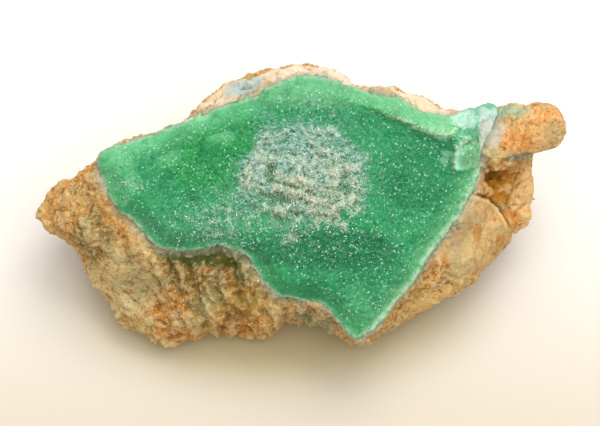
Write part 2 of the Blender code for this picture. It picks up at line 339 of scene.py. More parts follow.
def paint(red, green, blue):
    """A colour as it looks, 0 to 255, as the linear colour that a shader takes."""
    shares = (red / 255.0, green / 255.0, blue / 255.0)
    return tuple(s / 12.92 if s <= 0.04045 else ((s + 0.055) / 1.055) ** 2.4 for s in shares) + (1.0,)


def new_group(name, inputs, outputs):
    """An empty shader group with its named inputs and outputs, and its two end nodes."""
    tree = bpy.data.node_groups.new(name, "ShaderNodeTree")
    for label, kind in inputs:
        tree.interface.new_socket(label, in_out="INPUT", socket_type=kind)
    for label, kind in outputs:
        tree.interface.new_socket(label, in_out="OUTPUT", socket_type=kind)
    return tree, tree.nodes.new("NodeGroupInput"), tree.nodes.new("NodeGroupOutput")


def make_stain_group():
    """A ragged blot: 1 inside an oval blob of the plan, 0 away from it."""
    tree, given, put = new_group(
        "stain",
        [
            ("Place", "NodeSocketVector"),
            ("Middle", "NodeSocketVector"),
            ("Half Size", "NodeSocketVector"),
            ("Ragged", "NodeSocketFloat"),
        ],
        [("Mask", "NodeSocketFloat")],
    )
    away = add_node(
        tree, "ShaderNodeVectorMath", {0: given.outputs["Place"], 1: given.outputs["Middle"]}, operation="SUBTRACT"
    )
    shares = add_node(
        tree, "ShaderNodeVectorMath", {0: away.outputs[0], 1: given.outputs["Half Size"]}, operation="DIVIDE"
    )
    reach = add_node(tree, "ShaderNodeVectorMath", {0: shares.outputs[0]}, operation="LENGTH")
    cloud = add_node(
        tree, "ShaderNodeTexNoise", {"Vector": given.outputs["Place"], "Scale": 1.9, "Detail": 5.0, "Roughness": 0.7}
    )
    centred = add_node(tree, "ShaderNodeMath", {0: cloud.outputs[0], 1: 0.5}, operation="SUBTRACT")
    wobble = add_node(tree, "ShaderNodeMath", {0: centred.outputs[0], 1: given.outputs["Ragged"]}, operation="MULTIPLY")
    ragged = add_node(tree, "ShaderNodeMath", {0: reach.outputs["Value"], 1: wobble.outputs[0]}, operation="ADD")
    tree.links.new(stretched(tree, ragged.outputs[0], 1.15, 0.7), put.inputs["Mask"])
    return tree


STAIN = make_stain_group()


def plan_place(tree):
    """The place on the stone, square on to the green face and in millimetres, for a pattern to follow."""
    shift = Matrix.Rotation(-LEAN, 3, "X") @ -PLAN_ORIGIN
    where = add_node(tree, "ShaderNodeTexCoord")
    turned = add_node(
        tree,
        "ShaderNodeMapping",
        {
            "Vector": where.outputs["Object"],
            "Location": tuple(shift),
            "Rotation": (-LEAN, 0.0, 0.0),
            "Scale": (1.0 / MM, 1.0 / MM, 1.0 / MM),
        },
    )
    return turned.outputs[0]


def noise_of(tree, place, scale, detail=3.0, roughness=0.55, warp=0.0):
    """A soft noise, so many to the millimetre."""
    made = add_node(
        tree,
        "ShaderNodeTexNoise",
        {"Vector": place, "Scale": scale, "Detail": detail, "Roughness": roughness, "Distortion": warp},
    )
    return made.outputs[0]


def times(tree, first, second):
    """One value times another."""
    return add_node(tree, "ShaderNodeMath", {0: first, 1: second}, operation="MULTIPLY").outputs[0]


def read(tree, name):
    """A value that was stored on the piece's skin."""
    return add_node(tree, "ShaderNodeAttribute", attribute_name=name).outputs["Fac"]


def stained(tree, place, base, blots):
    """Lays ragged blots of colour over a base: each has a middle, half sizes, how ragged, a colour, an amount."""
    for middle, half_size, ragged, colour, amount in blots:
        blot = tree.nodes.new("ShaderNodeGroup")
        blot.node_tree = STAIN
        tree.links.new(place, blot.inputs["Place"])
        blot.inputs["Middle"].default_value = middle
        blot.inputs["Half Size"].default_value = half_size
        blot.inputs["Ragged"].default_value = ragged
        base = blended(tree, times(tree, blot.outputs["Mask"], amount), base, colour)
    return base


ROCK_TAN = paint(208, 174, 108)
ROCK_ORANGE = paint(214, 146, 64)
ROCK_GREY = paint(176, 164, 118)
ROCK_PALE = paint(234, 214, 158)
ROCK_DARK = paint(96, 60, 12)
ROCK_RUST = paint(176, 92, 22)
# Blots of stain; some of them also hold painted shade.
ROCK_BLOTS_AND_SHADE = [
    ((-9.2, -0.2, -1.8), (1.7, 1.6, 2.0), 0.8, paint(206, 150, 82), 0.7),
    ((-7.2, 1.2, -1.0), (0.9, 0.9, 2.0), 0.8, paint(214, 164, 96), 0.6),
    ((-6.6, -2.4, -2.0), (1.9, 2.0, 2.5), 1.0, paint(222, 204, 146), 0.7),
    # Painted shade, partly: the darker part of the left flank.
    ((-7.9, -1.2, -1.0), (0.9, 1.1, 2.5), 1.0, paint(146, 122, 64), 0.9),
    # Painted shade, partly: the brown below the crust's lower left edge, darkened where the crust overhangs it.
    ((-3.2, -2.7, -1.5), (2.4, 1.3, 2.0), 1.0, paint(100, 84, 26), 0.85),
    ((-6.4, -3.2, -2.5), (1.1, 0.9, 2.0), 0.7, paint(180, 170, 124), 0.7),
    ((-4.6, -4.9, -3.0), (1.1, 0.5, 1.5), 1.2, paint(208, 130, 44), 0.8),
    ((-2.2, -4.4, -3.0), (1.6, 0.5, 1.5), 1.2, paint(196, 122, 26), 0.95),
    ((0.7, -4.3, -1.8), (1.3, 0.8, 2.0), 0.7, paint(142, 162, 128), 0.8),
    # Painted shadow: dark olive just under the crust's lower left edge.
    ((-3.6, -1.95, -0.5), (2.0, 0.4, 1.5), 1.0, paint(96, 108, 56), 0.75),
    ((8.7, 0.5, -2.2), (0.7, 1.4, 2.0), 0.5, paint(246, 196, 128), 0.85),
    ((4.4, -3.3, -2.0), (2.2, 1.1, 2.0), 0.9, paint(255, 212, 132), 0.8),
    ((9.0, 3.0, 0.0), (1.7, 1.3, 1.6), 0.5, paint(236, 186, 122), 0.8),
    ((8.2, 2.5, 0.2), (0.9, 0.5, 1.6), 0.9, paint(226, 150, 74), 0.8),
    ((9.2, 3.5, 0.2), (0.9, 0.45, 1.6), 1.0, paint(230, 156, 84), 0.8),
    ((9.7, 2.8, 0.0), (0.45, 0.5, 1.6), 0.8, paint(178, 158, 112), 0.7),
]
# Films of colour; some of them hold painted shade or a painted highlight.
ROCK_FILMS_SHADE_AND_HIGHLIGHTS = [
    ((7.4, 1.0, -1.2), (1.1, 1.2, 1.8), 0.7, paint(184, 118, 10), 0.9),
    ((7.15, 1.25, -1.2), (0.4, 0.45, 1.8), 0.7, paint(124, 90, 10), 0.6),
    ((8.6, 0.2, -2.0), (0.6, 1.3, 1.8), 0.7, paint(250, 204, 138), 0.7),
    ((8.05, -0.55, -1.5), (0.55, 0.4, 1.8), 0.9, paint(210, 138, 44), 0.8),
    # Painted shadow: dark olive just under the crust's lower left edge.
    ((-3.4, -1.95, -0.5), (2.2, 0.5, 1.5), 1.0, paint(70, 90, 34), 0.85),
    ((-2.0, -2.45, -1.0), (0.8, 0.8, 1.8), 0.8, paint(84, 92, 44), 0.8),
    ((-2.2, -3.6, -1.8), (2.5, 1.0, 2.0), 1.2, paint(130, 112, 50), 0.65),
    ((-3.4, -3.6, -1.5), (0.8, 0.6, 1.8), 1.0, paint(140, 140, 94), 0.7),
    ((5.1, -2.35, -1.5), (0.5, 0.35, 1.8), 1.0, paint(118, 84, 30), 0.75),
    ((4.4, -3.4, -1.8), (0.4, 0.35, 1.8), 1.0, paint(150, 116, 60), 0.7),
    ((6.8, -1.05, -1.0), (0.2, 0.5, 1.8), 1.4, paint(190, 122, 48), 0.6),
    ((6.5, -0.35, -1.0), (0.5, 0.3, 1.8), 1.4, paint(190, 146, 80), 0.5),
    ((5.95, -1.5, -1.0), (0.35, 0.5, 1.8), 1.0, paint(196, 176, 134), 0.6),
    ((7.35, 2.9, 0.0), (0.5, 0.95, 1.4), 1.9, paint(208, 206, 198), 0.7),
    ((7.15, 3.1, 0.0), (0.35, 0.8, 1.4), 1.9, paint(150, 190, 172), 0.7),
    ((7.2, 1.95, 0.0), (0.45, 0.35, 1.4), 1.2, paint(200, 190, 140), 0.6),
    ((7.7, 3.6, 0.1), (1.3, 0.3, 0.7), 1.3, paint(118, 176, 156), 0.8),
    # Painted highlight: the top rim laid near white where the lamp behind strikes it.
    ((-3.3, 4.15, -0.4), (1.3, 0.75, 0.7), 1.3, paint(252, 230, 204), 0.8),
    ((3.4, 4.3, -0.4), (0.8, 0.5, 0.7), 1.2, paint(254, 228, 200), 0.85),
    ((1.5, 4.8, -0.4), (3.6, 0.9, 0.7), 1.4, paint(254, 232, 212), 0.9),
    ((4.8, 4.0, -0.4), (2.1, 0.9, 0.7), 1.4, paint(254, 230, 200), 0.9),
    ((-2.0, 4.5, -0.3), (1.0, 0.5, 0.5), 1.0, paint(176, 206, 206), 0.85),
]
PEBBLE_TAN = paint(220, 192, 136)
PEBBLE_STREAK = paint(200, 132, 60)

rock_finish = bpy.data.materials.new("iron_stained_chert")
rock_finish.use_nodes = True
tree = rock_finish.node_tree
place = plan_place(tree)
along_grain = add_node(tree, "ShaderNodeAttribute", attribute_name="grain").outputs["Vector"]
broad = noise_of(tree, place, 0.5, 4.0, 0.6)
streaky = noise_of(tree, along_grain, 1.3, 6.0, 0.7, 0.6)
patchy = noise_of(tree, place, 1.2, 7.0, 0.74, 0.9)
middling = noise_of(tree, place, 3.4, 6.0, 0.75, 0.6)
fine = noise_of(tree, place, 7.0, 4.0, 0.75)
colour = blended(tree, stretched(tree, broad, 0.35, 0.65), ROCK_TAN, ROCK_ORANGE)
colour = stained(tree, place, colour, ROCK_BLOTS_AND_SHADE)
colour = blended(tree, stretched(tree, streaky, 0.5, 0.62, 0.0, 0.65), colour, ROCK_GREY)
colour = blended(tree, stretched(tree, patchy, 0.53, 0.64, 0.0, 0.8), colour, ROCK_ORANGE)
colour = blended(tree, stretched(tree, patchy, 0.46, 0.34, 0.0, 0.6), colour, ROCK_PALE)
rust = times(tree, stretched(tree, middling, 0.52, 0.6), stretched(tree, patchy, 0.46, 0.58, 0.1, 0.9))
colour = blended(tree, rust, colour, ROCK_RUST)
colour = blended(tree, stretched(tree, middling, 0.45, 0.36, 0.0, 0.6), colour, ROCK_PALE)
colour = blended(tree, stretched(tree, fine, 0.53, 0.64, 0.0, 0.6), colour, ROCK_DARK)
colour = blended(tree, stretched(tree, fine, 0.45, 0.34, 0.0, 0.6), colour, ROCK_PALE)
is_pebble = read(tree, "pebble")
streaks = add_node(
    tree, "ShaderNodeMapping", {"Vector": place, "Rotation": (0.0, 0.0, math.radians(32)), "Scale": (3.4, 0.55, 1.0)}
)
streak = stretched(tree, noise_of(tree, streaks.outputs[0], 1.1, 5.0, 0.65, 0.5), 0.48, 0.6, 0.0, 0.9)
pebble_colour = blended(tree, streak, PEBBLE_TAN, PEBBLE_STREAK)
pebble_colour = blended(tree, stretched(tree, streaky, 0.5, 0.64, 0.0, 0.6), pebble_colour, paint(186, 174, 132))
colour = blended(tree, times(tree, is_pebble, stretched(tree, middling, 0.4, 0.6, 0.9, 0.4)), colour, pebble_colour)
# The films, with their painted shade and painted highlights, laid over the colour.
filmed_shaded_and_highlit = stained(tree, place, colour, ROCK_FILMS_SHADE_AND_HIGHLIGHTS)
colour = blended(tree, stretched(tree, read(tree, "seen"), 0.0, 0.8, 0.15, 1.0), colour, filmed_shaded_and_highlit)
edge = read(tree, "pebble_edge")
colour = blended(tree, stretched(tree, edge, 0.6, 1.0, 0.0, 0.6), colour, paint(236, 208, 158))
colour = blended(tree, stretched(tree, edge, 0.4, 0.1, 0.0, 0.7), colour, paint(120, 88, 44))
# Painted shadow under the knob's lower edge, in blue grey.
colour = blended(tree, times(tree, read(tree, "knob_painted_shadow"), 0.8), colour, paint(96, 110, 104))
colour = blended(tree, times(tree, read(tree, "knob_seam"), 0.7), colour, paint(226, 206, 152))
# Painted shade: darker in the hollows of the skin, and paler on its crests.
pit_shade = read(tree, "pit_shade")
colour = blended(tree, stretched(tree, pit_shade, 0.62, 1.0, 0.0, 0.55), colour, ROCK_DARK)
colour = blended(tree, stretched(tree, pit_shade, 0.4, 0.05, 0.0, 0.4), colour, ROCK_PALE)
near = read(tree, "to_crust")
seam = times(tree, stretched(tree, near, 0.45, 0.02), stretched(tree, middling, 0.35, 0.6, 0.25, 0.95))
colour = blended(tree, seam, colour, paint(176, 178, 156))
bumps = add_node(
    tree, "ShaderNodeMath", {0: noise_of(tree, place, 13.0, 4.0, 0.7), 1: times(tree, fine, 1.5)}, operation="ADD"
)
bump = add_node(tree, "ShaderNodeBump", {"Strength": 0.8, "Distance": 0.1 * MM, "Height": bumps.outputs[0]})
shader = tree.nodes["Principled BSDF"]
tree.links.new(colour, shader.inputs["Base Color"])
tree.links.new(bump.outputs[0], shader.inputs["Normal"])
tree.links.new(stretched(tree, fine, 0.3, 0.7, 0.75, 0.98), shader.inputs["Roughness"])
shader.inputs["Specular IOR Level"].default_value = 0.2
rock.data.materials.clear()
rock.data.materials.append(rock_finish)
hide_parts("matrix_rock")
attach(rock, "root")


# The variscite: a waxy green crust with a fine sugary skin. Its broken edges are smooth and milky, a lighter
# terrace with a thin pale lip runs along its upper right, and it is darkest right of and below the pale druse.
# Painted shade darkens a band under the lip, the hollows among the frost and its lower left wall.
CRUST_SKIN = 0.06 * MM
TERRACE = [(1.6, 4.0), (2.8, 3.6), (3.62, 3.31), (4.57, 2.93), (5.22, 2.59), (5.79, 2.63), (6.1, 2.9), (6.5, 3.2)]
TERRACE_RISE = 0.2
EDGE_SPREAD = 0.08
WEDGE = [
    (5.83, 1.95), (6.06, 2.12), (6.32, 2.26), (6.63, 2.24), (6.88, 1.87), (6.95, 1.50), (6.40, 1.30), (5.98, 1.24),
    (5.80, 1.42),
]
LAYER = [
    (5.75, 2.48), (5.83, 2.71), (6.10, 3.05), (6.32, 3.20), (6.63, 3.28), (6.85, 3.20), (6.80, 2.60), (6.71, 2.32),
    (6.52, 2.48), (6.32, 2.51), (6.10, 2.32), (5.94, 2.06), (5.83, 2.17),
]
BRIGHT_EDGES = [
    [(5.95, 2.04), (6.10, 2.31), (6.32, 2.51), (6.52, 2.48), (6.74, 2.30)],
    [(5.80, 2.78), (6.10, 3.08), (6.32, 3.24), (6.66, 3.36)],
    [(5.80, 1.42), (5.82, 1.72), (5.85, 1.95)],
]
THREADS = [
    [(-1.95, 1.95), (-2.0, 1.2), (-1.9, 0.5)],
    [(-2.0, 1.75), (-1.3, 1.8), (-0.7, 1.7)],
    [(-0.95, 1.15), (-0.2, 0.95), (0.5, 0.85)],
    [(-0.9, 0.65), (-0.1, 0.6), (0.45, 0.2)],
    [(0.1, 2.85), (0.7, 2.2), (1.35, 1.7)],
    [(0.45, 2.85), (1.05, 2.85)],
    [(1.75, 1.5), (2.0, 0.9), (1.6, 0.4)],
    [(1.1, -0.3), (1.65, 0.05), (2.1, 0.3)],
    [(0.6, -0.7), (1.2, -0.62), (1.75, -0.75)],
    [(0.9, 1.2), (1.6, 1.15)],
]
GAPS = [
    ((-1.12, 1.2), (0.22, 0.45), -8.0),
    ((-0.35, 0.70), (0.34, 0.10), -12.0),
    ((0.38, 0.46), (0.28, 0.10), -15.0),
    ((1.75, 1.1), (0.25, 0.15), 20.0),
    ((-1.9, -0.1), (0.32, 0.22), 0.0),
    ((0.0, -0.35), (0.55, 0.13), -8.0),
    ((-0.95, -0.5), (0.6, 0.15), -10.0),
    ((-2.6, 0.75), (0.35, 0.2), 30.0),
    ((-0.9, 0.25), (0.75, 0.22), -12.0),
    ((1.7, 0.62), (0.3, 0.2), 0.0),
]


def druse_share(plan):
    """How much of the surface the pale druse covers, in plan."""
    ragged = plan[:, :2] + 0.75 * np.column_stack((cloud_at(plan, 1.0, 3.0), cloud_at(plan, 1.0, 9.0)))
    share = oval(ragged, (0.1, 1.2), (2.5, 2.0), turn=-8.0, soft=0.42)
    share = np.maximum(share, 0.9 * oval(ragged, (1.5, -0.1), (0.8, 0.7), soft=0.4))
    share *= 1.0 - 0.7 * oval(plan, (-2.4, 2.6), (0.8, 0.8), soft=0.5)
    share *= 1.0 - 0.5 * oval(plan, (0.2, -1.0), (1.2, 0.5), soft=0.5)
    share = np.maximum(share, 0.43 * oval(ragged, (-2.5, -0.3), (2.1, 1.3), turn=15.0, soft=0.6))
    share = np.maximum(share, 0.6 * oval(ragged, (-1.0, -0.2), (1.9, 0.8), turn=-8.0, soft=0.5))
    share = np.maximum(share, 0.42 * oval(ragged, (0.1, 3.1), (2.3, 0.8), soft=0.6))
    share = np.maximum(share, 0.13 * oval(ragged, (1.0, -1.1), (2.6, 0.8), turn=-10.0, soft=0.6))
    share = np.maximum(share, 0.5 * oval(plan, (-6.35, 0.75), (0.6, 0.18), turn=-12.0, soft=0.6))
    return share


def threads_at(plan):
    """1 along the brightest ridges of the felt, 0 away from them."""
    bent = plan[:, :2] + 0.1 * np.column_stack((cloud_at(plan, 0.35, 31.0), cloud_at(plan, 0.35, 37.0)))
    drawn = np.zeros(len(plan))
    for points in THREADS:
        drawn = np.maximum(drawn, eased(1.0 - from_line(bent, points) / 0.2))
    return drawn


def gaps_at(plan):
    """1 in the dark green gaps of the felt, 0 away from them."""
    gaps = np.zeros(len(plan))
    for middle, half_size, turn in GAPS:
        gaps = np.maximum(gaps, oval(plan, middle, half_size, turn, soft=0.5))
    return gaps


def lace_at(plan):
    """1 along the threads that the felted crystals stand in, 0 between them."""
    bent = plan.copy()
    bent[:, 0] += 0.12 * cloud_at(plan, 0.4, 31.0)
    bent[:, 1] += 0.12 * cloud_at(plan, 0.4, 37.0)
    flat = bent * np.array((0.7, 1.0, 1.0))
    coarse = eased(1.0 - np.abs(cloud_at(flat, 0.34, 41.0, 2)) / 0.3)
    fine = eased(1.0 - np.abs(cloud_at(flat, 0.15, 47.0, 1)) / 0.35)
    return np.clip(0.45 * coarse + 0.5 * fine + 0.2 * threads_at(plan), 0.0, 1.0) * (1.0 - 0.6 * gaps_at(plan))


def within(plan, corners):
    """How far each place lies inside a closed outline of the plan; it is negative outside."""
    ring = corners + corners[:1]
    crossings = np.zeros(len(plan), int)
    for (x1, y1), (x2, y2) in zip(ring, ring[1:]):
        spans = (y1 > plan[:, 1]) != (y2 > plan[:, 1])
        crossings += spans & (plan[:, 0] < x1 + (x2 - x1) * (plan[:, 1] - y1) / ((y2 - y1) or 1.0))
    return np.where(crossings % 2 == 1, 1.0, -1.0) * from_line(plan, ring)


crust = taken_from("variscite_crust", "green_crust", CRUST_SKIN)
crust_places = places_of(crust)
plan = in_plan(crust_places)
solid_plan = in_plan(np.array([v.co[:] for v in crust_solid.vertices], float))
wall_faces = [tuple(p.vertices) for p in crust_solid.polygons if abs(p.normal @ outward) < 0.5]
wall_tree = BVHTree.FromPolygons([Vector(p) for p in solid_plan], wall_faces)
found = [wall_tree.find_nearest(Vector((p[0], p[1], 0.2)))[0] for p in plan]
to_rim = np.array([(f.x, f.y) for f in found]) - plan[:, :2]
rim = np.linalg.norm(to_rim, axis=1)
rim_way = to_rim / rim.clip(1e-6)[:, None]
above = plan[:, 1] - np.interp(plan[:, 0], [p[0] for p in TERRACE], [p[1] for p in TERRACE])
above += 0.07 * cloud_at(plan, 0.25, 57.0)
in_terrace = eased((plan[:, 0] - 1.6) / 1.6) * eased((6.2 - plan[:, 0]) / 0.3)
on_terrace = eased(above / 0.1 + 0.5) * in_terrace
lip = np.exp(-((above / 0.06) ** 2)) * eased((plan[:, 0] - 3.3) / 0.5) * eased((6.0 - plan[:, 0]) / 0.3)
nibbled = plan.copy()
nibbled[:, :2] += 0.05 * np.column_stack((cloud_at(plan, 0.2, 3.0), cloud_at(plan, 0.2, 9.0)))
in_wedge = within(nibbled, WEDGE)
in_layer = within(nibbled, LAYER)
on_wedge = eased(in_wedge / 0.08 + 0.5)
on_layer = eased(in_layer / 0.08 + 0.5)
bright_edge = np.zeros(len(plan))
for points in BRIGHT_EDGES:
    bright_edge = np.maximum(bright_edge, np.exp(-((from_line(nibbled, points) / 0.07) ** 2)))
top = eased((plan[:, 2] - 0.25) / 0.3)
pale = druse_share(plan)
lace = lace_at(plan)
walls = normals_of(crust)
walls -= np.outer(walls @ np.array(outward), np.array(outward))
ragged = 1.0 + 0.9 * cloud_at(plan, 0.5, 53.0) + 0.7 * cloud_at(plan, 0.17, 55.0, 2)
spread = eased((0.62 - plan[:, 2]) / 0.4) * EDGE_SPREAD * ragged
lift = on_terrace * TERRACE_RISE + lip * 0.05 + on_layer * (0.14 + 0.12 * (2.9 - plan[:, 1])) + bright_edge * 0.05
lift += on_wedge * (0.2 + 0.12 * (6.4 - plan[:, 0]))
sink = 0.16 * eased((0.25 - plan[:, 2]) / 0.25)
shaped = crust_places + np.outer((lift * top - sink) * MM, np.array(outward)) + walls * (spread * MM)[:, None]
crust.data.vertices.foreach_set("co", shaped.astype(np.float32).ravel())
crust.data.update()
inner = eased((rim - 0.15) / 0.5)
sugar = 0.1 * cloud_at(plan, 1.1, 61.0) + (0.05 * cloud_at(plan, 0.13, 67.0, 2)) * (0.35 + 0.65 * inner)
felt = pale * (0.13 * lace + 0.1 * threads_at(plan) - 0.08 * gaps_at(plan) + 0.05 * cloud_at(plan, 0.13, 71.0, 2) - 0.05)
pushed(crust, (sugar + felt) * top)
milk = np.clip(0.5 + 0.5 * rim_way[:, 1] - 0.15 * rim_way[:, 0] + 0.9 * eased(plan[:, 0] - 2.0), 0.0, 1.0)
keep_values(crust, "rim", rim)
keep_values(crust, "wall", eased((0.42 - plan[:, 2]) / 0.4))
milk *= 1.0 - 0.3 * oval(plan, (-0.8, 4.0), (3.0, 0.9), soft=0.5)
keep_values(crust, "milk", eased((0.85 - rim) / 0.8) * milk)
right_edge = eased((0.26 - rim) / 0.22) * eased((rim_way[:, 0] - 0.2) / 0.4) * eased((1.9 - plan[:, 1]) / 0.5)
keep_values(crust, "right_edge", right_edge)
keep_values(crust, "druse_share", pale)
keep_values(crust, "lace", lace)
keep_values(crust, "gap", gaps_at(plan) * pale)
keep_values(crust, "terrace", on_terrace)
keep_values(crust, "lip", np.maximum(lip, bright_edge))
# Painted shade: a band just under the lip.
keep_values(crust, "shade_under_lip", np.exp(-(((above + 0.28) / 0.2) ** 2)) * eased((plan[:, 0] - 3.0) / 0.8))
keep_values(crust, "wedge", on_wedge)
keep_values(crust, "wedge_pale", eased((6.35 - plan[:, 0]) / 0.45 + 0.3 * cloud_at(plan, 0.3, 59.0)))
keep_values(crust, "layer", on_layer)
keep_values(crust, "pit_shade", pits_of(crust, 16.0))

GREEN = paint(38, 142, 88)
GREEN_DEEP = paint(4, 104, 62)
GREEN_BRIGHT = paint(18, 136, 62)
GREEN_MILKY = paint(104, 184, 130)
CRUST_BLOTS = [
    ((4.8, 1.1, 0.8), (2.1, 1.5, 3.0), 0.7, GREEN_DEEP, 0.5),
    ((1.0, -1.7, 0.8), (3.0, 0.9, 3.0), 0.9, paint(0, 92, 54), 0.85),
    ((2.8, -2.8, 0.8), (1.6, 1.6, 3.0), 0.7, GREEN_DEEP, 0.45),
    ((-3.7, 1.7, 0.8), (1.6, 1.3, 3.0), 0.7, GREEN_BRIGHT, 0.9),
    ((-2.4, 2.6, 0.8), (1.3, 0.9, 3.0), 0.7, GREEN_BRIGHT, 0.75),
    ((-6.9, 1.0, 0.8), (0.9, 1.1, 3.0), 0.5, GREEN_MILKY, 0.6),
    ((-4.6, -0.9, 0.8), (2.4, 0.7, 3.0), 0.7, paint(62, 142, 98), 0.7),
    ((0.6, 4.3, 0.8), (2.2, 0.7, 3.0), 0.6, paint(104, 166, 122), 0.8),
    ((2.2, -4.2, 0.8), (0.7, 1.1, 3.0), 0.6, GREEN_MILKY, 0.3),
    ((-4.2, 3.35, 0.8), (0.75, 0.22, 3.0), 0.5, paint(206, 232, 206), 0.85),
    ((5.4, 2.85, 0.8), (0.6, 0.35, 3.0), 1.2, paint(196, 232, 206), 0.6),
]
CRUST_FILMS = [
    ((7.05, 3.3, 0.8), (0.8, 0.9, 3.0), 1.0, paint(98, 164, 136), 0.85),
    ((7.2, 3.3, 0.8), (0.5, 0.5, 3.0), 2.4, paint(200, 216, 210), 0.6),
    ((6.3, 3.3, 0.8), (0.6, 0.35, 3.0), 2.4, paint(190, 224, 210), 0.6),
    ((7.1, 2.6, 0.6), (0.35, 0.75, 3.0), 1.6, paint(198, 202, 192), 0.75),
    ((5.5, 1.68, 0.8), (0.16, 0.22, 3.0), 2.4, paint(150, 196, 172), 0.35),
    ((5.6, 1.95, 0.8), (0.3, 0.12, 3.0), 1.8, paint(124, 184, 152), 0.6),
]
DRUSE_TEAL = paint(108, 168, 142)
DRUSE_CREAM = paint(206, 214, 186)


def make_sugar_group():
    """Tiny crystal faces, each turned its own way, with a random number for each face."""
    tree, given, put = new_group(
        "crystal_faces",
        [("Place", "NodeSocketVector"), ("Scale", "NodeSocketFloat"), ("Turn", "NodeSocketFloat")],
        [("Normal", "NodeSocketVector"), ("Chance", "NodeSocketFloat")],
    )
    cells = add_node(tree, "ShaderNodeTexVoronoi", {"Vector": given.outputs["Place"], "Scale": given.outputs["Scale"]})
    centred = add_node(
        tree, "ShaderNodeVectorMath", {0: cells.outputs["Color"], 1: (0.5, 0.5, 0.5)}, operation="SUBTRACT"
    )
    turned = add_node(
        tree, "ShaderNodeVectorMath", {0: centred.outputs[0], "Scale": given.outputs["Turn"]}, operation="SCALE"
    )
    upright = add_node(tree, "ShaderNodeNewGeometry")
    leaning = add_node(
        tree, "ShaderNodeVectorMath", {0: upright.outputs["Normal"], 1: turned.outputs[0]}, operation="ADD"
    )
    unit = add_node(tree, "ShaderNodeVectorMath", {0: leaning.outputs[0]}, operation="NORMALIZE")
    split = add_node(tree, "ShaderNodeSeparateColor", {"Color": cells.outputs["Color"]})
    tree.links.new(unit.outputs[0], put.inputs["Normal"])
    tree.links.new(split.outputs[2], put.inputs["Chance"])
    return tree


SUGAR = make_sugar_group()


def sugar_faces(tree, place, scale, turn):
    """Places the crystal faces in a material, with that many to the millimetre."""
    faces = tree.nodes.new("ShaderNodeGroup")
    faces.node_tree = SUGAR
    tree.links.new(place, faces.inputs["Place"])
    faces.inputs["Scale"].default_value = scale
    faces.inputs["Turn"].default_value = turn
    return faces


crust_finish = bpy.data.materials.new("green_variscite")
crust_finish.use_nodes = True
tree = crust_finish.node_tree
place = plan_place(tree)
mottle = noise_of(tree, place, 0.9, 5.0, 0.6, 0.5)
clouds = noise_of(tree, place, 3.2, 4.0, 0.65)
speck = noise_of(tree, place, 10.0, 3.0, 0.7)
faces = sugar_faces(tree, place, 17.0, 0.8)
colour = stained(tree, place, GREEN, CRUST_BLOTS)
colour = blended(tree, stretched(tree, mottle, 0.5, 0.66, 0.0, 0.6), colour, GREEN_DEEP)
colour = blended(tree, stretched(tree, clouds, 0.56, 0.76, 0.0, 0.3), colour, GREEN_MILKY)
colour = blended(tree, stretched(tree, clouds, 0.46, 0.32, 0.0, 0.3), colour, GREEN_DEEP)
terrace = read(tree, "terrace")
colour = blended(tree, times(tree, terrace, stretched(tree, mottle, 0.3, 0.6, 0.75, 0.4)), colour, paint(140, 204, 142))
colour = blended(tree, times(tree, read(tree, "milk"), stretched(tree, mottle, 0.35, 0.65, 0.95, 0.6)), colour, GREEN_MILKY)
colour = blended(tree, stretched(tree, clouds, 0.5, 0.36, 0.0, 0.4), colour, GREEN)
# Painted shade: darker green just under the lip.
colour = blended(tree, times(tree, read(tree, "shade_under_lip"), 0.15), colour, GREEN_DEEP)
layer_colour = blended(tree, stretched(tree, clouds, 0.4, 0.6), paint(52, 134, 92), paint(108, 188, 144))
colour = blended(tree, times(tree, read(tree, "layer"), 0.85), colour, layer_colour)
wedge_colour = blended(tree, read(tree, "wedge_pale"), paint(118, 180, 132), paint(150, 216, 188))
colour = blended(tree, times(tree, read(tree, "wedge"), 0.9), colour, wedge_colour)
lip_share = times(tree, read(tree, "lip"), stretched(tree, clouds, 0.35, 0.6, 0.25, 0.85))
colour = blended(tree, lip_share, colour, paint(214, 230, 204))
from_rim = read(tree, "rim")
frayed = add_node(tree, "ShaderNodeMath", {0: from_rim, 1: times(tree, speck, 0.16)}, operation="SUBTRACT")
frayed_share = times(tree, stretched(tree, frayed.outputs[0], 0.03, -0.09), stretched(tree, clouds, 0.38, 0.6, 0.1, 0.8))
colour = blended(tree, frayed_share, colour, paint(158, 178, 156))
wall_share = times(tree, read(tree, "wall"), stretched(tree, speck, 0.35, 0.6, 0.5, 0.95))
# Painted shade: the wall is darker olive at the lower left, under the crust's overhang.
wall_colour_and_shade = stained(tree, place, paint(152, 156, 118), [((-3.0, -1.5, 0.0), (2.4, 0.9, 3.0), 0.6, paint(104, 112, 66), 0.8)])
colour = blended(tree, wall_share, colour, wall_colour_and_shade)
pale_edge = times(tree, read(tree, "right_edge"), stretched(tree, clouds, 0.38, 0.58, 0.1, 0.8))
colour = blended(tree, pale_edge, colour, paint(176, 204, 174))
inside = stretched(tree, from_rim, 0.05, 0.4)
colour = blended(tree, times(tree, stretched(tree, speck, 0.54, 0.68, 0.0, 0.4), inside), colour, GREEN_MILKY)
colour = blended(tree, times(tree, stretched(tree, speck, 0.46, 0.34, 0.0, 0.5), inside), colour, GREEN_DEEP)
glint = times(tree, stretched(tree, faces.outputs["Chance"], 0.95, 0.98, 0.0, 0.5), inside)
colour = blended(tree, glint, colour, paint(176, 226, 196))
colour = stained(tree, place, colour, CRUST_FILMS)
share = read(tree, "druse_share")
frost_noise = noise_of(tree, place, 4.0, 5.0, 0.75, 0.8)
frost = add_node(tree, "ShaderNodeMath", {0: share, 1: times(tree, frost_noise, 1.2)}, operation="ADD")
frosted = stretched(tree, frost.outputs[0], 0.95, 1.5)
colour = blended(tree, times(tree, frosted, 0.8), colour, DRUSE_TEAL)
on_lace = times(tree, stretched(tree, read(tree, "lace"), 0.3, 0.9), stretched(tree, share, 0.25, 0.8))
